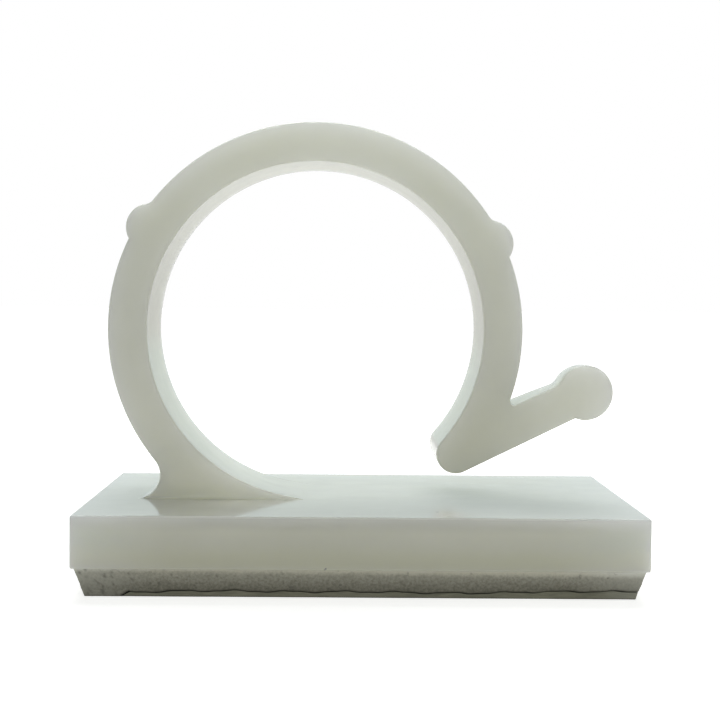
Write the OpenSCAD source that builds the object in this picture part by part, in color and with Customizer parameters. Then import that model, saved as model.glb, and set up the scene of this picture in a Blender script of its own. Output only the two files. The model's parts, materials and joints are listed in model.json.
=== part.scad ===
// Adhesive cable hook: an open ring that stands on a flat plate, moulded with it in one piece, with a
// finger tab at the ring's free end. A foam pad with its release liner is stuck under the plate.
// Millimetres. +X runs along the plate towards the tab, the front is -Y, and +Z is up.
// The origin is the middle of the underside.

/* [Plate] */
// Length of the plate, along X
plate_l = 40; // [36:1:60]
// Width of the plate, along Y
plate_w = 25; // [16:1:40]
// Thickness of the plate
plate_t = 3.6; // [2:0.1:6]
// Radius of the plate's edges
plate_edge_r = 0.2; // [0.1:0.05:0.6]

/* [Ring] */
// Diameter of the bore that holds the cables
bore_d = 25; // [18:0.5:28]
// Thickness of the ring's wall
ring_wall = 2.9; // [2:0.1:4]
// Width of the ring, along Y
ring_w = 9.2; // [7:0.2:14]
// Place of the ring's axis along the plate, measured from the plate's middle
ring_x = -3.4; // [-4.2:0.2:0]
// Place of the ring's mid-width behind the plate's middle
ring_y = 1.1; // [-1:0.1:1]
// Angle of the free end below the level of the ring's axis
mouth_deg = 41; // [30:1:48]

/* [Foot] */
// Radius of the blend from the ring's outside to the plate
foot_blend_r = 1.75; // [1:0.05:2.5]
// Thickness of the toe under the lowest line of the bore
toe_t = 0.1; // [0.05:0.05:0.5]
// Distance by which the toe stops short of the lowest line of the bore
toe_stop = 0.8; // [0.2:0.1:3]

/* [Finger tab] */
// Length of the tab, from the centre of the rounded lip to the centre of the bulb
tab_l = 10.7; // [9:0.1:12]
// Thickness of the tab
tab_t = 2.8; // [1.8:0.1:3.2]
// Width of the tab along Y at the bulb, to which it narrows from the ring's width at the lip
tab_tip_w = 2.2; // [1.4:0.1:5]
// Rise of the tab above the level
tab_deg = 26.1; // [18:0.1:36]
// Diameter of the bulb at the end of the tab
bulb_d = 4.1; // [3.4:0.1:5]
// Radius of the blend from the tab's upper face to the bulb
bulb_blend_r = 1; // [0.4:0.1:1.6]
// Radius of the blend in the notch between the ring and the tab
notch_blend_r = 0.35; // [0.2:0.05:1]

/* [Ribs] */
// Radius of the round ribs on the ring's outside
rib_r = 1.75; // [1.3:0.05:2.2]
// Depth of the ribs' centre lines under the ring's outside
rib_sink = 0.95; // [0.5:0.05:1.2]
// Radius of the blend on the upper side of each rib
rib_blend_r = 0.7; // [0.3:0.1:1.2]
// Angle of the rib above the foot, counted from the level on the tab's side
foot_rib_deg = 148.6; // [130:0.2:165]
// Angle of the rib above the tab
tab_rib_deg = 26.8; // [15:0.1:50]

/* [Foam pad] */
// Thickness of the foam
foam_t = 1.7; // [0.8:0.05:3]
// Distance of the foam's upper edge inside the plate's edge
foam_inset_top = 0.35; // [0:0.05:1]
// Distance of the pad's lower edge inside the plate's edge
foam_inset_bottom = 0.9; // [0.4:0.05:2]

/* [Release liner] */
// Thickness of the liner
liner_t = 0.45; // [0.2:0.05:0.8]
// Distance by which the liner stops short of the foam's end on the foot's side
liner_short = 2.4; // [0.5:0.1:6]

/* [Hidden] */
$fn = 96;
// How far a blend or the lip's round runs past the faces that it joins, so that it ends in a clean edge
blend_sink = 0.01;
// The stack from the underside up
pad_h = foam_t + liner_t;
plate_top = pad_h + plate_t;
// The ring, in a plane through its axis: u along X and v along Z, from the axis
bore_r = bore_d / 2;
ring_r = bore_r + ring_wall;
mid_r = bore_r + ring_wall / 2;
lip_r = ring_wall / 2 + blend_sink;
lip_u = mid_r * cos(mouth_deg);
axis_h = bore_r + toe_t;
axis_z = plate_top + axis_h;
front_y = ring_y - ring_w / 2;
// The foot is rooted in the middle of the plate's thickness
root_v = -axis_h - plate_t / 2;
foot_v = foot_blend_r - blend_sink - axis_h;
foot_u = -sqrt(pow(ring_r + foot_blend_r - blend_sink, 2) - pow(foot_v, 2));
// The tab, in its own frame: p along the tab from the lip's centre, q square to it
tab_low = -ring_wall / 2;
tab_top = tab_low + tab_t;
tab_mid = tab_low + tab_t / 2;
bulb_r = bulb_d / 2;
bulb_u = lip_u + tab_l * cos(tab_deg) - tab_mid * sin(tab_deg);
axis_p = -mid_r * cos(mouth_deg + tab_deg);
axis_q = mid_r * sin(mouth_deg + tab_deg);
notch_q = tab_top + notch_blend_r - blend_sink;
notch_p = axis_p + sqrt(pow(ring_r + notch_blend_r - blend_sink, 2) - pow(notch_q - axis_q, 2));
bulb_blend_q = tab_top + bulb_blend_r - blend_sink;
bulb_blend_p = tab_l - sqrt(pow(bulb_r + bulb_blend_r - blend_sink, 2) - pow(bulb_blend_q - tab_mid, 2));
// Longer than anything that a cutting shape has to pass
reach = 3 * ring_r;

function at(r, a) = [r * cos(a), r * sin(a)];

// The angle at the ring's axis between a rib and the centre of its blend, from the sides of the triangle
// that the three centres make
rib_at = ring_r - rib_sink;
rib_blend_at = ring_r + rib_blend_r - blend_sink;
rib_to_blend = rib_r + rib_blend_r - blend_sink;
rib_sides = pow(rib_at, 2) + pow(rib_blend_at, 2) - pow(rib_to_blend, 2);
rib_blend_deg = acos(rib_sides / (2 * rib_at * rib_blend_at));

module rounded_rect(w, h, r) {
    square([w - 2 * r, h], center = true);
    square([w, h - 2 * r], center = true);
    for (u = [-1, 1], v = [-1, 1])
        translate([u * (w / 2 - r), v * (h / 2 - r)]) circle(r);
}

// A plate with every edge rounded: its three outlines, each carried through the others
module rounded_plate() {
    intersection() {
        linear_extrude(plate_t, center = true) rounded_rect(plate_l, plate_w, plate_edge_r);
        rotate([90, 0, 0])
            linear_extrude(plate_w, center = true) rounded_rect(plate_l, plate_t, plate_edge_r);
        rotate([90, 0, 90])
            linear_extrude(plate_l, center = true) rounded_rect(plate_w, plate_t, plate_edge_r);
    }
}

// A round rib, blended into the ring on its upper side, where side is 1 for anticlockwise, and cut off inside
// the ring's wall
module rib_2d(deg, side) {
    blend_deg = deg + side * rib_blend_deg;
    difference() {
        union() {
            translate(at(rib_at, deg)) circle(rib_r);
            polygon([[0, 0], at(rib_at, deg), at(rib_blend_at, blend_deg)]);
        }
        translate(at(rib_blend_at, blend_deg)) circle(rib_blend_r);
        circle(mid_r);
    }
}

// The open ring, from the toe on the plate round to the lip
module ring_2d() {
    difference() {
        circle(ring_r);
        circle(bore_r);
        polygon([[0, 0], at(reach, -mouth_deg), [reach, -reach], [-toe_stop, -reach], [-toe_stop, 0]]);
    }
    translate(at(mid_r, -mouth_deg)) circle(lip_r);
}

// The web between the ring and the plate, hollowed by the foot's blend
module foot_2d() {
    difference() {
        polygon([[0, 0], [foot_u, foot_v], [foot_u, root_v], [-toe_stop, root_v], [-toe_stop, 0]]);
        circle(bore_r);
        translate([foot_u, foot_v]) circle(foot_blend_r);
    }
}

module hook_2d() {
    intersection() {
        union() {
            ring_2d();
            foot_2d();
            rib_2d(foot_rib_deg, -1);
            rib_2d(tab_rib_deg, 1);
        }
        translate([-reach, root_v]) square(2 * reach);
    }
}

// The finger tab with its bulb, cut off inside the ring's wall
module tab_2d() {
    difference() {
        translate(at(mid_r, -mouth_deg)) rotate(tab_deg) {
            translate([0, tab_low]) square([tab_l, tab_t]);
            translate([tab_l, tab_mid]) circle(bulb_r);
            difference() {
                polygon([[axis_p, axis_q], [notch_p, notch_q], [notch_p, tab_mid]]);
                translate([notch_p, notch_q]) circle(notch_blend_r);
            }
            difference() {
                polygon([[tab_l, tab_mid], [bulb_blend_p, tab_mid], [bulb_blend_p, bulb_blend_q]]);
                translate([bulb_blend_p, bulb_blend_q]) circle(bulb_blend_r);
            }
        }
        circle(mid_r);
    }
}

// Carries an outline of the ring's plane from the ring's front face to its back
module through_ring() {
    translate([ring_x, ring_y, axis_z]) rotate([90, 0, 0]) linear_extrude(ring_w, center = true) children();
}

// The tab seen from above, from the ring's axis and front face: its back runs in from the ring's back at the
// lip to the bulb, and then level with the front
module tab_plan_2d() {
    polygon([
        [0, -ring_w], [reach, -ring_w], [reach, tab_tip_w], [bulb_u, tab_tip_w], [lip_u, ring_w], [0, ring_w]
    ]);
}

module finger_tab() {
    intersection() {
        through_ring() tab_2d();
        translate([ring_x, front_y]) linear_extrude(axis_z + ring_r) tab_plan_2d();
    }
}

module hook_body() {
    color([0.84, 0.86, 0.79]) {
        translate([0, 0, pad_h + plate_t / 2]) rounded_plate();
        through_ring() hook_2d();
        finger_tab();
    }
}

// Side view of the pad, whose cut edges lean in towards the underside
module pad_2d(l) {
    top = l / 2 - foam_inset_top;
    bottom = l / 2 - foam_inset_bottom;
    polygon([[-bottom, 0], [bottom, 0], [top, pad_h], [-top, pad_h]]);
}

module whole_pad() {
    intersection() {
        rotate([90, 0, 0]) linear_extrude(plate_w, center = true) pad_2d(plate_l);
        rotate([90, 0, 90]) linear_extrude(plate_l, center = true) pad_2d(plate_w);
    }
}

// The part of the pad's depth that the liner takes up
module liner_space() {
    start = -plate_l / 2 + foam_inset_bottom + liner_short;
    translate([start, -plate_w, -liner_t]) cube([plate_l, 2 * plate_w, 2 * liner_t]);
}

module foam_pad() {
    color([0.47, 0.46, 0.41]) difference() {
        whole_pad();
        liner_space();
    }
}

module release_liner() {
    color([0.38, 0.38, 0.33]) intersection() {
        whole_pad();
        liner_space();
    }
}

hook_body();
foam_pad();
release_liner();
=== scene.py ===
import json

import bmesh
import bpy
import numpy as np
from mathutils import Matrix, Vector
from mathutils.geometry import tessellate_polygon


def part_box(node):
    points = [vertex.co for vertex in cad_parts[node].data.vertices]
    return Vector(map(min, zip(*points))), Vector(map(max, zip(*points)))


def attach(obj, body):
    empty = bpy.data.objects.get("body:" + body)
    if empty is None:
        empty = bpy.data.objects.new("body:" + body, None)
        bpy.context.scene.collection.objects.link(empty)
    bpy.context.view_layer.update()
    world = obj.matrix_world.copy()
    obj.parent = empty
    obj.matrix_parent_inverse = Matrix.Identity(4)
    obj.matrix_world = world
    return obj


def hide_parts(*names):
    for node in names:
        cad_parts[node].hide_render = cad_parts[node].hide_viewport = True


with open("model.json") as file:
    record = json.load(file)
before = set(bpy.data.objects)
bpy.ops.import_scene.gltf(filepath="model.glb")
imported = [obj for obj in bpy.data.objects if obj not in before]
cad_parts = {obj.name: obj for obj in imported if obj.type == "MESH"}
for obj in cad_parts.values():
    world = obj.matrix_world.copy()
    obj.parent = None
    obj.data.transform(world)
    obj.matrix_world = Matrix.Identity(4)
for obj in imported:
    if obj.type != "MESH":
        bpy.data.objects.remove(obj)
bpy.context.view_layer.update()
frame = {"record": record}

# Hook body: the plate, the open ring with its foot, lip and two ribs, and the finger tab with its
# bulb. It is one injection moulding in natural milky nylon, which light passes through, with a satin
# skin from the mould, a fine round along its edges and a few dark specks in the plastic.
MM = 0.001
body_low, body_high = np.array(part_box("hook_body")) / MM
cable_loop = next(mount for mount in frame["record"]["mounts"] if mount["name"] == "cable_loop")
axis_x, axis_y, axis_z = np.array(cable_loop["pos_m"]) / MM
bore_r = cable_loop["dims"]["r_mm"]
ring_w = cable_loop["dims"]["length_mm"]
ring_front = axis_y - ring_w / 2
ring_back = axis_y + ring_w / 2
ring_wall = 2.9
lip_r = ring_wall / 2
ring_r = bore_r + ring_wall
mid_r = bore_r + lip_r
mouth_deg = 41
edge_r = 0.2
edge_rows = 6
edge_run_out = 0.6
plate_t = 3.6
plate_drop = 0.1
plate_top = body_low[2] + plate_t
plate_low = body_low[2] - plate_drop
plate_v = plate_top - axis_z
plate_edge_r = 0.15
plate_corner_r = 0.16
toe_leave_deg = 258
foot_blend_r = 1.75
foot_sink = 0.03
tab_deg = 26.1
tab_l = 10.7
tab_t = 2.8
tab_low = -lip_r
tab_mid = tab_low + tab_t / 2
tab_tip_w = 2.2
tab_round_run = 2.2
bulb_r = 2.05
bulb_round = 0.6
bulb_round_run = 1.5
bulb_blend_r = 1.0
notch_blend_r = 0.35
rib_r = 1.75
rib_sink = 0.95
rib_at = ring_r - rib_sink
rib_blend_r = 0.7
tab_rib_deg = 26.8
foot_rib_deg = 148.6
contact_r = 0.35
contact_run_out = 5
contact_columns, contact_rows = 61, 7
strip_up = 1.6
skirt_w = 0.2


def at(radius, deg):
    """The point at a radius and an angle from the ring's axis."""
    return radius * np.array([np.cos(np.radians(deg)), np.sin(np.radians(deg))])


def bearing(start, end):
    """The angle in degrees of the line from one point to another."""
    return np.degrees(np.arctan2(end[1] - start[1], end[0] - start[0]))


def arc(centre, radius, start, end, pitch=0.25, turn=9):
    """Points on a circle from one angle to another, in degrees, no further apart than the pitch and
    the turn."""
    sweep = abs(end - start)
    count = int(np.ceil(max(np.radians(sweep) * radius / pitch, sweep / turn))) + 1
    deg = np.radians(np.linspace(start, end, count))
    return np.asarray(centre) + radius * np.stack([np.cos(deg), np.sin(deg)], axis=-1)


def line(start, end, pitch=0.25):
    """Points on a straight line, no further apart than the pitch."""
    count = int(np.ceil(np.hypot(*(end - start)) / pitch)) + 1
    return start + np.linspace(0, 1, count)[:, None] * (end - start)


def chain(*runs):
    """Runs of points end to end, each without its last point, which is the next one's first."""
    return np.concatenate([run[:-1] for run in runs[:-1]] + [runs[-1]])


def outward(points, closed=False):
    """Unit normals to the right of a line of points: square to the sum of the two unit steps at each
    point."""
    step = np.diff(points, axis=0, append=points[:1])
    step /= np.linalg.norm(step, axis=1, keepdims=True)
    back = np.roll(step, 1, axis=0)
    if not closed:
        step[-1], back[0] = back[-1], step[0]
    both = step + back
    both /= np.linalg.norm(both, axis=1, keepdims=True)
    return np.stack([both[:, 1], -both[:, 0]], axis=-1)


def ease(value):
    """From 0 to 1 with level ends, as the value goes from 0 to 1."""
    value = np.clip(value, 0, 1)
    return value * value * (3 - 2 * value)


def toe_and_bore():
    """From the toe's tip along a straight line that touches the bore, then back along the bore to
    the lip."""
    leave = at(bore_r, toe_leave_deg)
    along = at(1, toe_leave_deg + 90)
    tip = leave + along * (plate_v - leave[1]) / along[1]
    return chain(line(tip, leave), arc((0, 0), bore_r, toe_leave_deg, -mouth_deg))


lip = at(mid_r, -mouth_deg)
tab_along = at(1, tab_deg)
tab_up = at(1, tab_deg + 90)


def on_tab(p, q):
    """A point given along the tab from the lip's centre and square to it."""
    return lip + p * tab_along + q * tab_up


bulb = on_tab(tab_l, tab_mid)


def tab_outline():
    """From the lip along the tab's underside, round the bulb, and back along its upper face into the
    notch. Each blend's centre is worked out from the circle and the line that it touches."""
    top = tab_low + tab_t
    bulb_start = on_tab(tab_l - np.sqrt(bulb_r**2 - (tab_mid - tab_low) ** 2), tab_low)
    blend_q = top + bulb_blend_r
    blend_p = tab_l - np.sqrt((bulb_r + bulb_blend_r) ** 2 - (blend_q - tab_mid) ** 2)
    blend = on_tab(blend_p, blend_q)
    axis_p, axis_q = -lip @ tab_along, -lip @ tab_up
    notch_q = top + notch_blend_r
    notch_p = axis_p + np.sqrt((ring_r + notch_blend_r) ** 2 - (notch_q - axis_q) ** 2)
    notch = on_tab(notch_p, notch_q)
    return chain(
        line(on_tab(0, tab_low), bulb_start),
        arc(bulb, bulb_r, bearing(bulb, bulb_start), -90),
        arc(bulb, bulb_r, -90, 90),
        arc(bulb, bulb_r, 90, bearing(bulb, blend)),
        arc(blend, bulb_blend_r, bearing(blend, bulb), tab_deg - 90),
        line(on_tab(blend_p, top), on_tab(notch_p, top)),
        arc(notch, notch_blend_r, tab_deg - 90, bearing(notch, (0, 0)) - 360),
    )


def tab_back(u):
    """Depth of the tab's back face at a distance from the ring's axis: straight in from the ring's
    back at the lip to the tip's width at the bulb, and level from there on."""
    share = np.clip((u - lip[0]) / (bulb[0] - lip[0]), 0, 1)
    return ring_back + (tab_tip_w - ring_w) * share


def corner_deg(near, far, opposite):
    """The angle in degrees between two sides of a triangle, from the lengths of its three sides."""
    return np.degrees(np.arccos((near**2 + far**2 - opposite**2) / (2 * near * far)))


def rib(deg, side):
    """A half-round rib from one side to the other, with its blend on the side given, 1 for
    anticlockwise. The places of the centres come from the triangles that they make with the ring's
    axis. With it come the angles at which it leaves the ring and joins it again."""
    blend_at = ring_r + rib_blend_r
    to_blend = corner_deg(rib_at, blend_at, rib_r + rib_blend_r)
    to_ring = corner_deg(rib_at, ring_r, rib_r)
    centre = at(rib_at, deg)
    blend = at(blend_at, deg + side * to_blend)
    start = bearing(centre, at(ring_r, deg - side * to_ring))
    tangent = bearing(centre, blend)
    if side * (tangent - start) < 0:
        tangent += side * 360
    blend_start = tangent + 180
    blend_end = deg + side * to_blend + 180
    blend_end = blend_start + (blend_end - blend_start + 180) % 360 - 180
    run = chain(
        arc(centre, rib_r, start, tangent),
        arc(blend, rib_blend_r, blend_start, blend_end),
    )
    ends = (deg - side * to_ring, deg + side * to_blend)
    return (run, *ends) if side > 0 else (run[::-1], *ends[::-1])


def ring_outside(start):
    """From an angle on the ring's outside over both ribs to the foot's blend, and down that to the
    plate."""
    tab_rib, tab_rib_start, tab_rib_end = rib(tab_rib_deg, 1)
    foot_rib, foot_rib_start, foot_rib_end = rib(foot_rib_deg, -1)
    foot_v = plate_v + foot_blend_r - foot_sink
    foot = np.array([-np.sqrt((ring_r + foot_blend_r) ** 2 - foot_v**2), foot_v])
    foot_deg = bearing((0, 0), foot) + 360
    plate_deg = -np.degrees(np.arcsin((foot_v - plate_v) / foot_blend_r))
    return chain(
        arc((0, 0), ring_r, start, tab_rib_start),
        tab_rib,
        arc((0, 0), ring_r, tab_rib_end, foot_rib_start),
        foot_rib,
        arc((0, 0), ring_r, foot_rib_end, foot_deg),
        arc(foot, foot_blend_r, foot_deg - 180, plate_deg),
    )


# The outlines in the ring's plane. Behind the tab, the ring has its own outline.
inside = chain(toe_and_bore(), arc(lip, lip_r, 180 - mouth_deg, tab_deg + 270))
tab_run = tab_outline()
notch_deg = bearing((0, 0), tab_run[-1])
outside = ring_outside(notch_deg)
behind_tab = chain(
    arc(lip, lip_r, tab_deg + 270, 360 - mouth_deg),
    arc((0, 0), ring_r, -mouth_deg, notch_deg),
)
front_outline = chain(inside, tab_run, outside)
back_outline = chain(inside, behind_tab, outside)
tab_first = len(inside) - 1
tab_last = tab_first + len(tab_run) - 1
behind_last = tab_first + len(behind_tab) - 1

round_turn = np.radians(np.linspace(0, 90, edge_rows))
round_in = edge_r * (1 - np.sin(round_turn))
round_along = edge_r * (1 - np.cos(round_turn))


def moved_in(outline, inset):
    """An outline moved into the solid along its normals, by an inset for each point and row."""
    return outline[:, None] - inset[..., None] * outward(outline)[:, None]


def at_depth(flat, depth):
    """Points of the ring's plane put at their depths in the part's frame."""
    depth = np.broadcast_to(depth, flat.shape[:2])
    return np.stack([axis_x + flat[..., 0], depth, axis_z + flat[..., 1]], axis=-1)


def seam(outline, flat, last):
    """Depth of the line between the ring's front and back parts: the tab's back face along the tab,
    and level along the ring from the tab's two ends."""
    held = outline[np.clip(np.arange(len(outline)), tab_first, last), 0]
    return tab_back(flat[..., 0] + (held - outline[:, 0])[:, None])


def clear_of_plate(outline):
    """From 0 at the plate's surface to 1 a little above it, so that the edge rounds run out there."""
    return ease((outline[:, 1] - plate_v) / edge_run_out)[:, None]


# The front part, with its edge rounds in front and behind, which are larger at the bulb's back
along_tab = np.zeros(len(front_outline))
tab_steps = np.linalg.norm(np.diff(tab_run, axis=0), axis=1).cumsum()
along_tab[tab_first + 1:tab_last + 1] = np.minimum(tab_steps, tab_steps[-1] - tab_steps)
to_bulb = np.linalg.norm(front_outline - bulb, axis=1)
at_bulb = ease((bulb_r + bulb_round_run - to_bulb) / bulb_round_run)
back_round = 1 + (bulb_round / edge_r - 1) * at_bulb
back_round = (back_round * ease(along_tab / tab_round_run))[:, None]
front_inset = np.concatenate(
    [clear_of_plate(front_outline) * round_in, back_round * round_in[::-1]], axis=1
)
front_flat = moved_in(front_outline, front_inset)
front_depth = seam(front_outline, front_flat, tab_last)
front_depth[:, :edge_rows] = ring_front + round_along
front_depth[:, edge_rows:] -= np.maximum(back_round, 1) * round_along[::-1]
front_grid = at_depth(front_flat, front_depth)

# The back part, from the seam to the edge round at the ring's back
back_inset = clear_of_plate(back_outline) * np.concatenate([[0], round_in[::-1]])
back_flat = moved_in(back_outline, back_inset)
back_depth = seam(back_outline, back_flat, behind_last)
back_depth[:, 1:] = (ring_back - round_along)[::-1]
back_grid = at_depth(back_flat, back_depth)


def rounded_loop(half_x, half_y, corner):
    """A rectangle with round corners, anticlockwise seen from above: four quarter circles end to
    end."""
    x, y = half_x - corner, half_y - corner
    return np.concatenate([
        arc((x, -y), corner, -90, 0),
        arc((x, y), corner, 0, 90),
        arc((-x, y), corner, 90, 180),
        arc((-x, -y), corner, 180, 270),
    ])


plate_loop = rounded_loop(body_high[0], body_high[1], plate_corner_r)
plate_out = outward(plate_loop, closed=True)
plate_in = plate_edge_r / edge_r * round_in
plate_along = plate_edge_r / edge_r * round_along
plate_inset = np.concatenate([plate_in, plate_in[::-1]])
plate_z = np.concatenate([plate_low + plate_along, (plate_top - plate_along)[::-1]])
plate_grid = np.empty((len(plate_loop), len(plate_z), 3))
plate_grid[..., :2] = plate_loop[:, None] - plate_inset[:, None] * plate_out[:, None]
plate_grid[..., 2] = plate_z

contact_run = np.linspace(0, 1, contact_columns)
contact_turn = np.radians(np.linspace(0, 90, contact_rows))
contact_out = np.concatenate([[0], 1 - np.cos(contact_turn)])
contact_up = np.concatenate([[strip_up], 1 - np.sin(contact_turn)])


def contact_fillet(start, end, side):
    """The fillet where one of the ring's faces meets the plate: a quarter circle carried along the
    line from start to end, below a flat strip of the face, with a radius that runs out at both ends.
    The side is -1 in front."""
    to_end = np.minimum(contact_run, 1 - contact_run) * np.linalg.norm(end - start)
    radius = contact_r * ease(to_end / contact_run_out)[:, None]
    path = start + contact_run[:, None] * (end - start)
    grid = np.repeat(path[:, None], len(contact_out), axis=1)
    grid[..., 1] += side * radius * contact_out
    grid[..., 2] += radius * contact_up
    return grid


front_fillet = contact_fillet(front_grid[-1, 0], front_grid[0, 0], -1)
back_fillet = contact_fillet(back_grid[-1, -1], back_grid[0, -1], 1)

# A narrow flat skirt round the foot keeps the shading of the plate's top even.
foot_edge = np.concatenate([
    front_grid[0],
    back_grid[0, 1:],
    back_fillet[-2:0:-1, -1],
    back_grid[-1, :0:-1],
    front_grid[-1, ::-1],
    front_fillet[1:-1, -1],
])
skirt = foot_edge.copy()
skirt[:, :2] += skirt_w * outward(foot_edge[:, :2], closed=True)
skirt_grid = np.stack([skirt, foot_edge], axis=1)


def numbered(grid, first=0):
    """The numbers of a grid's points, stored row after row, from the number of the first one."""
    return first + np.arange(grid.shape[0] * grid.shape[1]).reshape(grid.shape[:2])


def quads(number, closed=False):
    """Faces of a grid from its points' numbers. In a closed grid the last row joins the first."""
    if closed:
        number = np.concatenate([number, number[:1]])
    corners = number[:-1, :-1], number[:-1, 1:], number[1:, 1:], number[1:, :-1]
    return np.stack(corners, axis=-1).reshape(-1, 4).tolist()


open_grids = [front_grid, back_grid, front_fillet, back_fillet]
grids = open_grids + [skirt_grid, plate_grid]
hook_points = np.concatenate([grid.reshape(-1, 3) for grid in grids])
firsts = np.cumsum([0] + [grid.shape[0] * grid.shape[1] for grid in grids[:-1]])
numbers = [numbered(grid, first) for grid, first in zip(grids, firsts)]
front_number, back_number, front_low, back_low, skirt_number, plate_number = numbers
top_rings = [plate_number[:, -1], skirt_number[:, 0]]
top_faces = tessellate_polygon([hook_points[ring].tolist() for ring in top_rings])
hook_faces = np.concatenate(top_rings)[np.array(top_faces)].tolist()
for position, number in enumerate(numbers):
    hook_faces += quads(number, closed=position >= len(open_grids))
bulb_low, bulb_high = (
    tab_first + np.argmin(np.linalg.norm(tab_run - bulb - [0, side * bulb_r], axis=1))
    for side in (-1, 1)
)
plate_underside = plate_number[::-1, 0]
ring_front_face = np.concatenate([front_number[:, 0], front_low[1:-1, 0]])
ring_back_face = np.concatenate([back_number[::-1, -1], back_low[-2:0:-1, 0]])
tab_back_face = np.concatenate([
    back_number[tab_first:behind_last + 1, 0],
    front_number[tab_last - 1:bulb_high - 1:-1, -1],
    front_number[bulb_low:tab_first:-1, -1],
])
bulb_back_face = front_number[bulb_high:bulb_low - 1:-1, -1]
for face in (plate_underside, ring_front_face, ring_back_face, tab_back_face, bulb_back_face):
    hook_faces.append(face.tolist())


def put_in_scene(name, data):
    """A new object at the origin with the mesh, lamp or camera given."""
    made = bpy.data.objects.new(name, data)
    bpy.context.scene.collection.objects.link(made)
    return made


def make_piece(name, points_mm, faces, sharp_deg, merge_m=1e-7):
    """A closed mesh from points in millimetres: equal points become one, faces turn outwards, and
    only edges that turn by more than the sharp angle stay sharp."""
    mesh = bpy.data.meshes.new(name)
    mesh.from_pydata((points_mm * MM).tolist(), [], faces)
    work = bmesh.new()
    work.from_mesh(mesh)
    bmesh.ops.remove_doubles(work, verts=work.verts, dist=merge_m)
    bmesh.ops.recalc_face_normals(work, faces=work.faces)
    work.to_mesh(mesh)
    work.free()
    mesh.polygons.foreach_set("use_smooth", np.ones(len(mesh.polygons), bool))
    mesh.set_sharp_from_angle(angle=np.radians(sharp_deg))
    return put_in_scene(name, mesh)


class Wire:
    """A socket in a material's nodes. An operator on it adds the Math node that works the value out,
    and node adds any other node: its type, its settings, which are set first, and its inputs by name
    or number."""

    def __init__(self, tree, socket=None):
        self.tree, self.socket = tree, socket

    def node(self, kind, settings=None, inputs=None, out=0):
        made = self.tree.nodes.new(kind)
        for name, value in (settings or {}).items():
            setattr(made, name, value)
        for name, value in (inputs or {}).items():
            if isinstance(value, Wire):
                self.tree.links.new(value.socket, made.inputs[name])
            else:
                made.inputs[name].default_value = value
        return Wire(self.tree, made.outputs[out] if len(made.outputs) else None)

    def math(self, operation, first, second=0):
        return self.node("ShaderNodeMath", {"operation": operation}, {0: first, 1: second})

    def __add__(self, other):
        return self.math("ADD", self, other)

    def __sub__(self, other):
        return self.math("SUBTRACT", self, other)

    def __mul__(self, other):
        return self.math("MULTIPLY", self, other)

    def __rsub__(self, other):
        return self.math("SUBTRACT", other, self)

    def __abs__(self):
        return self.math("ABSOLUTE", self)

    __radd__, __rmul__ = __add__, __mul__

    def axis(self, name):
        """One coordinate of this place, in millimetres."""
        return self.node("ShaderNodeSeparateXYZ", inputs={"Vector": self}, out=name) * (1 / MM)

    def noise(self, scale, detail, roughness=0.5):
        """Random soft grey lumps at this place, so many to the metre."""
        inputs = {"Vector": self, "Scale": scale, "Detail": detail, "Roughness": roughness}
        return self.node("ShaderNodeTexNoise", inputs=inputs)

    def band(self, low, high):
        """From 0 to 1, with level ends, as this value goes from low to high."""
        settings = {"interpolation_type": "SMOOTHSTEP"}
        return self.node("ShaderNodeMapRange", settings, {"Value": self, 1: low, 2: high})

    def zone(self, start, full, fade, end):
        """From 0 at the start up to 1 when full, and from where it fades down to 0 at the end."""
        return self.band(start, full) * (1 - self.band(fade, end))

    def mix(self, low, high):
        """From one colour to another as this value goes from 0 to 1."""
        inputs = {"Factor": self, 6: low, 7: high}
        return self.node("ShaderNodeMix", {"data_type": "RGBA"}, inputs, out=2)

    def bump(self, strength, depth_mm):
        """Normals of a surface that this value raises by up to the depth."""
        inputs = {"Strength": strength, "Distance": depth_mm * MM, "Height": self}
        return self.node("ShaderNodeBump", inputs=inputs)


def new_finish(name):
    """An empty material, and the wire that its nodes start from."""
    finish = bpy.data.materials.new(name)
    finish.use_nodes = True
    finish.node_tree.nodes.clear()
    return finish, Wire(finish.node_tree)


# The plastic's tones, and the zones in millimetres over which they change: up from the underside,
# along the plate, and away from the ring's middle. Most of them are painted light and shade: the
# plate yellower low down and paler at its ends, the foot and its joint with the plate paler, and the
# plate's sides darker just below its top edge.
milk_dim, milk_full = (0.70, 0.70, 0.60, 1), (0.735, 0.735, 0.64, 1)
low_warm_light_milk, low_warm_light_up = (0.70, 0.70, 0.515, 1), (2.2, 4.2)
end_lit_milk, end_lit_low_milk = (0.775, 0.795, 0.72, 1), (0.86, 0.86, 0.70, 1)
end_lit_along, end_lit_up = (12, 20.5), (5.7, 6.3)
ring_away = (5.5, 11.5)
foot_lit_milk, foot_lit_up, foot_lit_along = (0.88, 0.87, 0.73, 1), (5.2, 5.7, 6.6, 9.5), (-17, -14, -10, -6)
joint_lit_milk, joint_lit_up, joint_lit_along = (0.97, 0.95, 0.77, 1), (5.72, 6, 6, 7.2), (-17, -15, -12, -8)
edge_shade_milk, edge_shade_up, edge_shade_along = (0.62, 0.62, 0.54, 1), (4.5, 5.3, 5.58, 5.66), (10, 19)
edge_shade_end_loss = 0.8
specks = (
    ((5.4, -9.6, plate_top), 0.16),
    ((-2.49, -12.5, 2.1), 0.1),
    ((-2.41, -12.5, 2.19), 0.09),
)
speck_milk, speck_core = (0.3, 0.3, 0.26, 1), 0.3
cloud_span = (0.3, 0.7)
ripple_high, grain_high = 3, 0.3
satin_least, satin_grain, satin_ring, satin_up = 0.06, 0.07, 0.09, (6.2, 12)
plate_path, ring_path, path_up = 3, 10, (4.5, 5.6)

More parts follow.
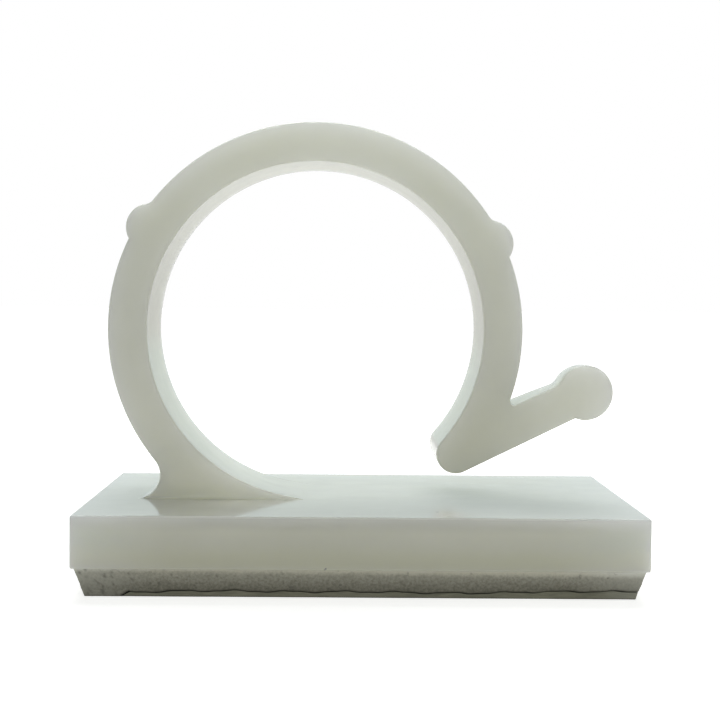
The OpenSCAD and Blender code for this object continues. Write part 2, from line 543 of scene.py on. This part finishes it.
milky_plastic, wire = new_finish("milky_plastic")
place = wire.node("ShaderNodeTexCoord", out="Object")
along, height = place.axis("X"), place.axis("Z")
cloud = place.noise(scale=160, detail=3).band(*cloud_span)
grain = place.noise(scale=1500, detail=2)
ripple = place.noise(scale=220, detail=1)
# Painted warm light: the plate turns yellower towards its underside.
low_warm_light = 1 - height.band(*low_warm_light_up)
milk = low_warm_light.mix(cloud.mix(milk_dim, milk_full), low_warm_light_milk)
# Painted light from the sides: the plate turns paler and bluer towards its ends, and paler and warmer
# still low down there.
plate_end_lit = abs(along).band(*end_lit_along) * (1 - height.band(*end_lit_up))
milk = plate_end_lit.mix(milk, low_warm_light.mix(end_lit_milk, end_lit_low_milk))
near_ring = 1 - abs(place.axis("Y") - axis_y).band(*ring_away)
# Painted light: the foot near the plate is made paler and yellower, against the shade that the ring
# throws on it.
foot_lit_zone = near_ring * height.zone(*foot_lit_up) * along.zone(*foot_lit_along)
milk = foot_lit_zone.mix(milk, foot_lit_milk)
# Painted light: nearly white along the foot's joint with the plate, over the shade in that corner.
joint_lit_zone = near_ring * height.zone(*joint_lit_up) * along.zone(*joint_lit_along)
milk = joint_lit_zone.mix(milk, joint_lit_milk)
# Painted shade: the plate's sides are darker just below its top edge, less so towards its ends.
edge_shade_zone = height.zone(*edge_shade_up) * (1 - abs(along).band(*edge_shade_along) * edge_shade_end_loss)
milk = edge_shade_zone.mix(milk, edge_shade_milk)
for middle, radius in specks:
    ends = {0: place, 1: np.array(middle) * MM}
    away = wire.node("ShaderNodeVectorMath", {"operation": "DISTANCE"}, ends, out="Value")
    milk = away.band(speck_core * radius * MM, radius * MM).mix(speck_milk, milk)
skin = (ripple * ripple_high + grain * grain_high).bump(strength=0.06, depth_mm=0.2)
satin = satin_least + grain * satin_grain + height.band(*satin_up) * satin_ring
in_plate, in_ring = (
    wire.node(
        "ShaderNodeBsdfPrincipled",
        {"subsurface_method": "RANDOM_WALK"},
        {
            "Base Color": milk,
            "Roughness": satin,
            "Normal": skin,
            "IOR": 1.5,
            "Subsurface Weight": 1.0,
            "Subsurface Radius": (1.0, 1.0, 0.9),
            "Subsurface Scale": light_path * MM,
        },
    )
    for light_path in (plate_path, ring_path)
)
rise = height.band(*path_up)
shader = wire.node("ShaderNodeMixShader", inputs={"Fac": rise, 1: in_plate, 2: in_ring})
wire.node("ShaderNodeOutputMaterial", inputs={"Surface": shader})

hook = make_piece("hook", hook_points, hook_faces, sharp_deg=30)
hook.data.materials.append(milky_plastic)
hook.modifiers.new("even_normals", "WEIGHTED_NORMAL").keep_sharp = True
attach(hook, "root")
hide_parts("hook_body")

# Foam pad: a piece of grey-beige foam tape, stuck under the plate. Its sides were cut with a lean, so
# they are full of small opened cells, and its lower edge is drawn in along the liner, where the
# adhesive has taken up dirt. That edge is also darkened by painted shade in the gap over the liner.
foam_end_bulge = 0.14
foam_half = np.array(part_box("foam_pad")[1][:2]) / MM + [foam_end_bulge, 0]
foam_top = plate_low
foam_top_in = 0.35
foam_corner_r = 0.12
foam_columns, foam_rows = 1400, 22
pad_lean = 0.66
fold_up, fold_in = np.array([-0.02, 0, 0.03]), np.array([0.04, 0.2, 0.5])
under_gap = 0.03
pit_start, pit_span, pit_deep = 1.7, 1.3, 0.05
torn_from, torn_run, torn_more = -12, 5, 0.8
cell_size, lump_size, grit_size = (0.9, 0.9), (6, 4), (0.8, 0.8)
lump_high, grit_high, lump_most = 0.008, 0.009, 0.04
liner_box = np.array(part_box("release_liner")) / MM
liner_start, liner_t = liner_box[0, 0], liner_box[1, 2]
liner_rise, liner_tilt = 0.03, 0.006
slant_run = 0.75
# The waves of the line between foam and liner: height, turn for each millimetre along X and along Y,
# and turn at the start
liner_waves = np.array([
    [0.06, 0.218, 0.5, 3.03],
    [0.028, 0.518, 0.3, 0.77],
    [0.055, 1.683, 0.9, 3.04],
    [0.02, 4.1, -1.3, 0],
])


def even_loop(loop, count):
    """A closed line as evenly spaced points: distance along it is read off against the points'
    places."""
    closed = np.concatenate([loop, loop[:1]])
    run = np.concatenate([[0], np.linalg.norm(np.diff(closed, axis=0), axis=1).cumsum()])
    place_along = np.arange(count) / count * run[-1]
    return np.stack([np.interp(place_along, run, closed[:, i]) for i in (0, 1)], axis=-1)


def lumps(shape, size, seed):
    """Soft random lumps on a grid that closes on itself: white noise, blurred by a bell curve in the
    frequency plane and scaled to a spread of one. The two sizes are in grid steps."""
    noise = np.fft.fft2(np.random.default_rng(seed).normal(size=shape))
    bell_down, bell_across = (
        np.exp(-2 * (np.pi * np.fft.fftfreq(count) * steps) ** 2) for count, steps in zip(shape, size)
    )
    field = np.fft.ifft2(noise * bell_down[:, None] * bell_across).real
    return field / field.std()


def slant(x, least=0):
    """Share of the liner's thickness that is reached at a place along X: the least at its start, then
    straight up to 1 over its slanted end."""
    return np.clip((x - liner_start) / slant_run, least, 1)


def liner_height(x, y):
    """Height of the line between foam and liner: the liner's thickness with slow waves and a small
    rise along the cut, and down to the underside at the liner's slanted end."""
    high, per_x, per_y, start = liner_waves.T
    turn = per_x * x[:, None] + per_y * (y + foam_half[1])[:, None] + start
    wave = (high * np.sin(turn)).sum(axis=1)
    return (liner_t + liner_rise + liner_tilt * x + wave) * slant(x)


foam_loop = even_loop(rounded_loop(*foam_half, foam_corner_r), foam_columns)
foam_out = outward(foam_loop, closed=True)
foam_core = np.clip(foam_loop, foam_corner_r - foam_half, foam_half - foam_corner_r)


def leaning_side(z):
    """The pad's outline at a height for each point and row: the straight sides shrink towards the
    underside, and the rounds of the corners keep their size."""
    shrunk = 1 - pad_lean * (1 - z[..., None] / foam_top) / (foam_half - foam_corner_r)
    return foam_core[:, None] * shrunk + (foam_loop - foam_core)[:, None]


low_place = foam_loop * (1 - pad_lean / foam_half)
low_line = liner_height(*low_place.T)[:, None]
side_z = foam_top + (low_line - foam_top) * np.linspace(0, 1, foam_rows)
cell_shape = (foam_columns, foam_rows)
torn = ease((torn_from - foam_loop[:, :1]) / torn_run)
cells = lumps(cell_shape, cell_size, seed=3) - pit_start + torn_more * torn
pit = np.clip(cells, 0, pit_span) / pit_span
swell = lump_high * lumps(cell_shape, lump_size, seed=4)
swell = swell + grit_high * lumps(cell_shape, grit_size, seed=5)
side_in = pit_deep * pit - np.clip(swell, -lump_most, lump_most)
top_z, top_in = (np.full((foam_columns, 1), value) for value in (foam_top, foam_top_in))
foam_z = np.maximum(np.concatenate([top_z, side_z, low_line + fold_up], axis=1), 0)
foam_in = np.concatenate([top_in, side_in, side_in[:, -1:] + fold_in], axis=1)
foam_flat = leaning_side(foam_z) - foam_in[..., None] * foam_out[:, None]
foam_side = np.concatenate([foam_flat, foam_z[..., None]], axis=-1)

shrink_rows = 10
shrink = np.linspace(1, 0, shrink_rows + 2)[1:-1, None]


def closed_in(side, middle, height_at):
    """A closed form from a side whose rows go round it: one flat face over its first line, and over
    its last line ever smaller copies of that line about the middle, at the height for their place
    along X, with a point in the middle. Gives the points, the faces and the numbers by row."""
    inner = (side[:, -1, None, :2] - middle) * shrink + middle
    inner = np.concatenate([inner, height_at(inner[..., :1])], axis=-1)
    grid = np.concatenate([side, inner], axis=1)
    points = np.concatenate([grid.reshape(-1, 3), [[*middle, height_at(middle[0])]]])
    number = numbered(grid)
    last = number[:, -1]
    fan = np.stack([last, np.roll(last, -1), np.full_like(last, len(points) - 1)], axis=-1)
    faces = quads(number, closed=True) + [number[:, 0].tolist()] + fan.tolist()
    return points, faces, number


def foam_under(x):
    """Height of the foam's underside: just above the liner, and down along its slanted end."""
    return liner_t * slant(x) + under_gap


foam_points, foam_faces, foam_number = closed_in(foam_side, np.zeros(2), foam_under)

# The foam's tones, and the zones in millimetres over which they change. Painted light makes the foam
# lighter towards the plate, paler towards its ends and palest just under the plate; painted shade
# darkens its pits and, with the adhesive's dirt, its lower edge.
plate_lit_foam_dim, plate_lit_foam_pale = (0.37, 0.36, 0.295, 1), (0.58, 0.565, 0.475, 1)
low_foam_dim, low_foam_pale = (0.155, 0.15, 0.118, 1), (0.29, 0.28, 0.225, 1)
plate_lit_foam_up = (0.4, 2.2)
foam_end_lit_tone, foam_end_lit_along, foam_end_lit_up = (0.60, 0.60, 0.53, 1), (13.5, 19.5), (0.3, 1.8)
foam_end_lit_least, foam_end_lit_more = 0.27, 0.17
plate_glow_tone, plate_glow_end_tone, plate_glow_up = (0.74, 0.72, 0.60, 1), (0.82, 0.82, 0.74, 1), (1.68, 2.2)
plate_glow_tilt, plate_glow_blotch, plate_glow_fleck = 0.006, 0.12, 0.1
pit_shade_tone, pit_shade_share = (0.12, 0.117, 0.1, 1), 0.5
# Dark lower edge: the adhesive's dirt, and painted shade in the gap over the liner.
glue_and_shade_tone = (0.085, 0.08, 0.06, 1)
fleck_share, blotch_share, mottle_span = 0.85, 0.15, (0.25, 0.75)
foam_rough, pit_smooth = 0.95, 0.1

grey_foam, wire = new_finish("grey_foam")
place = wire.node("ShaderNodeTexCoord", out="Object")
along, height = place.axis("X"), place.axis("Z")
pit_here = wire.node("ShaderNodeAttribute", {"attribute_name": "pit"}, out="Fac")
glue_and_shade_here = wire.node("ShaderNodeAttribute", {"attribute_name": "glue"}, out="Fac")
towards_end = abs(along).band(*foam_end_lit_along)
fleck = place.noise(scale=5200, detail=3, roughness=0.65)
blotch = place.noise(scale=900, detail=2)
mottle = (fleck * fleck_share + blotch * blotch_share).band(*mottle_span)
# Painted light: the foam is lighter towards the plate above it, and darker towards the liner.
plate_lit_foam = mottle.mix(plate_lit_foam_dim, plate_lit_foam_pale)
low_foam = mottle.mix(low_foam_dim, low_foam_pale)
cell_tone = height.band(*plate_lit_foam_up).mix(low_foam, plate_lit_foam)
# Painted light from the sides: the foam turns paler towards its ends, more so higher up.
foam_end_lit = towards_end * (foam_end_lit_least + height.band(*foam_end_lit_up) * foam_end_lit_more)
cell_tone = foam_end_lit.mix(cell_tone, foam_end_lit_tone)
# Painted light: a pale band along the foam's top, just under the plate, paler still towards its ends.
plate_glow = height + along * plate_glow_tilt + blotch * plate_glow_blotch + fleck * plate_glow_fleck
cell_tone = plate_glow.band(*plate_glow_up).mix(cell_tone, towards_end.mix(plate_glow_tone, plate_glow_end_tone))
# Painted shade: the deeper a pit, the darker it is.
cell_tone = (pit_here * pit_shade_share).mix(cell_tone, pit_shade_tone)
shader = wire.node(
    "ShaderNodeBsdfPrincipled",
    inputs={
        "Base Color": glue_and_shade_here.mix(cell_tone, glue_and_shade_tone),
        "Roughness": foam_rough - pit_here * pit_smooth,
        "Normal": fleck.bump(strength=0.5, depth_mm=0.06),
        "Specular IOR Level": 0.25,
    },
)
wire.node("ShaderNodeOutputMaterial", inputs={"Surface": shader})


def give_value(piece, name, values):
    """Stores one number for each point of a piece, for its material to read."""
    stored = piece.data.attributes.new(name, "FLOAT", "POINT")
    stored.data.foreach_set("value", values.astype(np.float32))


# How dark the foam's lower edge is on the last two rows of the side and on the fold under it: the
# adhesive's dirt, with painted shade in the gap over the liner and where the foam stands on the
# floor, darker over the liner's slanted end
glue_and_shade_along_liner, glue_and_shade_on_slant = [0.2, 0.65, 0.95, 1, 1], [0.35, 0.9, 1, 1, 1]
slant_reach = 0.85
pit_value, glue_and_shade_value = np.zeros((2, *foam_number.shape))
pit_value[:, 1:foam_rows + 1] = pit
on_slant = (low_line > 0) & (low_place[:, :1] < liner_start + slant_reach)
glue_and_shade_rows = slice(foam_rows - 1, foam_rows + 1 + len(fold_up))
glue_and_shade_value[:, glue_and_shade_rows] = np.where(on_slant, glue_and_shade_on_slant, glue_and_shade_along_liner)
foam = make_piece("foam", foam_points, foam_faces, sharp_deg=60)
give_value(foam, "pit", np.append(pit_value, 0))
give_value(foam, "glue", np.append(glue_and_shade_value, 1))
foam.data.materials.append(grey_foam)
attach(foam, "root")
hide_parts("foam_pad")

# Release liner: the strip of grey-olive paper that still covers the adhesive under the foam. It was
# cut with the foam, so its edge has the same lean, and it stops short of the foam's end with a
# slanted tear.
liner_gap = 0.08
liner_end_out = 0.06
liner_columns = 1000
liner_edge_in = 0.01
ragged_size, ragged_high = (5, 2), 0.008
rim_least, slant_least = 0.04, 0.1
rim_up = np.array([0, 0.05, 0.35, 0.7, 0.92, 1, 1])
rim_in = np.array([0.02, 0, 0, 0, 0, 0.02, 0.3])
liner_far = foam_half - pad_lean + [liner_end_out, 0]
liner_near = np.array([liner_start, -liner_far[1]])
liner_middle = (liner_far + liner_near) / 2
liner_loop = even_loop(rounded_loop(*(liner_far - liner_near) / 2, foam_corner_r), liner_columns)
liner_out = outward(liner_loop, closed=True)
liner_loop = liner_loop + liner_middle
rim = np.maximum(liner_height(*liner_loop.T) - liner_gap, rim_least)[:, None]
ragged = ragged_high * lumps((liner_columns, len(rim_in)), ragged_size, seed=8)
rim_out = rim * rim_up * pad_lean / foam_top - rim_in + ragged - liner_edge_in
liner_side = np.empty((liner_columns, len(rim_up), 3))
liner_side[..., :2] = liner_loop[:, None] + rim_out[..., None] * liner_out[:, None]
liner_side[..., 2] = rim * rim_up


def liner_upper(x):
    """Height of the liner's upper face: a little under the foam, and lower along its slanted end."""
    return (liner_t - liner_gap) * slant(x, slant_least)


liner_points, liner_faces, _ = closed_in(liner_side, liner_middle, liner_upper)

# The paper's tones, and the zones in millimetres over which they change. It is paler towards its ends
# by painted light, and dark along its bottom by painted shade.
paper_dim, paper_pale = (0.17, 0.167, 0.12, 1), (0.27, 0.265, 0.195, 1)
paper_end_lit, paper_end_lit_along, paper_end_lit_share = (0.36, 0.36, 0.30, 1), (15.5, 19), 0.6
paper_contact_shade, paper_contact_shade_up = (0.1, 0.1, 0.085, 1), (0.02, 0.1)
fibre_stretch, fibre_share, smudge_share, paper_span = (0.3, 0.3, 2), 0.6, 0.4, (0.3, 0.7)
paper_rough, fibre_rough = 0.7, 0.2

liner_paper, wire = new_finish("liner_paper")
place = wire.node("ShaderNodeTexCoord", out="Object")
stretched = wire.node("ShaderNodeMapping", inputs={"Vector": place, "Scale": fibre_stretch})
fibre = stretched.noise(scale=2600, detail=3)
smudge = place.noise(scale=300, detail=2)
mottle = (fibre * fibre_share + smudge * smudge_share).band(*paper_span)
paper_tone = mottle.mix(paper_dim, paper_pale)
# Painted light from the sides: the paper turns paler towards its ends.
towards_end = abs(place.axis("X")).band(*paper_end_lit_along) * paper_end_lit_share
paper_tone = towards_end.mix(paper_tone, paper_end_lit)
# Painted shade: the paper turns near black in its lowest tenth of a millimetre, along the floor.
shader = wire.node(
    "ShaderNodeBsdfPrincipled",
    inputs={
        "Base Color": place.axis("Z").band(*paper_contact_shade_up).mix(paper_contact_shade, paper_tone),
        "Roughness": paper_rough + fibre * fibre_rough,
        "Normal": fibre.bump(strength=0.3, depth_mm=0.03),
    },
)
wire.node("ShaderNodeOutputMaterial", inputs={"Surface": shader})

liner = make_piece("liner", liner_points, liner_faces, sharp_deg=50)
liner.data.materials.append(liner_paper)
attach(liner, "root")
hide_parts("release_liner")

# Floor: a plain white light table under the hook. It lights the hook from below, and it is white to
# the camera and in what the plastic mirrors, with the hook's shadow on it.
floor_half = 2.0
floor_z = -0.01 * MM
floor_grey = (0.75, 0.75, 0.74, 1)
glow_least, glow_to_camera, glow_away, glow_to_mirror = 0.28, 0.44, 0.36, 0.42
away_from, away_full = 0.03, 0.12
floor_corners = np.full((4, 3), floor_z)
floor_corners[:, :2] = floor_half * np.array([(-1, -1), (1, -1), (1, 1), (-1, 1)])
floor_mesh = bpy.data.meshes.new("floor")
floor_mesh.from_pydata(floor_corners.tolist(), [], [(0, 1, 2, 3)])
floor = put_in_scene("floor", floor_mesh)
floor_white, wire = new_finish("floor_white")
ray = "ShaderNodeLightPath"
camera_ray = wire.node(ray, out="Is Camera Ray")
mirror_ray = wire.node(ray, out="Is Glossy Ray") + wire.node(ray, out="Is Transmission Ray")
place = wire.node("ShaderNodeTexCoord", out="Object")
from_hook = wire.node("ShaderNodeVectorMath", {"operation": "LENGTH"}, {0: place}, out="Value")
away = from_hook.band(away_from, away_full)
glow = glow_least + camera_ray * (glow_to_camera + away * glow_away) + mirror_ray * glow_to_mirror
matt = wire.node("ShaderNodeBsdfDiffuse", inputs={"Color": floor_grey})
lift = wire.node("ShaderNodeEmission", inputs={"Color": glow, "Strength": 1})
shader = wire.node("ShaderNodeAddShader", inputs={0: matt, 1: lift})
wire.node("ShaderNodeOutputMaterial", inputs={"Surface": shader})
floor_mesh.materials.append(floor_white)

# Light: a large soft box above and behind the hook, two weaker ones in front and to the right, and a
# dim surround. What shows of the surround is white, and what the plastic mirrors of it is nearly so.
soft_level, mirror_level, white_level = 0.1, 0.88, 1
cool, mirror_green, front_green = (0.97, 1.0, 1.0), (0.895, 1.0, 0.98), (0.98, 1.0, 0.99)
world = bpy.data.worlds.new("surround")
bpy.context.scene.world = world
world.use_nodes = True
world.node_tree.nodes.clear()
wire = Wire(world.node_tree)
camera_ray = wire.node(ray, out="Is Camera Ray") + wire.node(ray, out="Is Transmission Ray")
mirror_ray = wire.node(ray, out="Is Glossy Ray")
soft, mirror, white = (
    wire.node("ShaderNodeBackground", inputs={"Color": (*colour, 1), "Strength": level})
    for colour, level in ((cool, soft_level), (mirror_green, mirror_level), ((1, 1, 1), white_level))
)
lit = wire.node("ShaderNodeMixShader", inputs={"Fac": mirror_ray, 1: soft, 2: mirror})
shader = wire.node("ShaderNodeMixShader", inputs={"Fac": camera_ray, 1: lit, 2: white})
wire.node("ShaderNodeOutputWorld", inputs={"Surface": shader})


def soft_box(name, place, aim, size, level, colour):
    """A rectangular lamp that faces a point, as bright as a white sheet at that level."""
    lamp = bpy.data.lights.new(name, "AREA")
    lamp.shape = "RECTANGLE"
    lamp.size, lamp.size_y = size
    lamp.energy = level * np.pi * size[0] * size[1]
    lamp.color = colour
    facing = (Vector(aim) - Vector(place)).to_track_quat("-Z", "Y")
    put_in_scene(name, lamp).matrix_world = Matrix.LocRotScale(Vector(place), facing, None)


behind_place, front_place, right_place = (0, 0.09, 0.17), (0, -0.16, 0.17), (0.09, 0, 0.02)
ring_aim, low_aim = (0, 0, 0.02), (0, 0, 0.01)
soft_box("box_behind", behind_place, ring_aim, size=(0.2, 0.12), level=3.4, colour=cool)
soft_box("box_front", front_place, ring_aim, size=(0.2, 0.2), level=0.72, colour=front_green)
soft_box("box_right", right_place, low_aim, size=(0.06, 0.06), level=0.55, colour=cool)

# Camera: a close-up lens of about 75 mm in front of the hook, a little above the ring's axis. It
# looks slightly down, and is square to the ring but for a small turn and roll.
photo_w = 720
focal_pixels = 1503.29
camera_place = (-0.001422, -0.115008, 0.020977)
yaw, pitch, roll = np.radians([0.690, -2.464, 0.508])
lens = bpy.data.cameras.new("camera")
lens.sensor_width = 36
lens.lens = focal_pixels / photo_w * lens.sensor_width
lens.clip_start = 0.01
look = np.array([np.sin(yaw) * np.cos(pitch), np.cos(yaw) * np.cos(pitch), np.sin(pitch)])
level_right = np.array([np.cos(yaw), -np.sin(yaw), 0])
level_up = np.cross(level_right, look)
right = np.cos(roll) * level_right + np.sin(roll) * level_up
up = -np.sin(roll) * level_right + np.cos(roll) * level_up
turned = Matrix(np.stack([right, up, -look], axis=1).tolist()).to_4x4()
camera = put_in_scene("camera", lens)
camera.matrix_world = Matrix.Translation(camera_place) @ turned
bpy.context.scene.camera = camera
bpy.context.scene.view_settings.view_transform = "Standard"
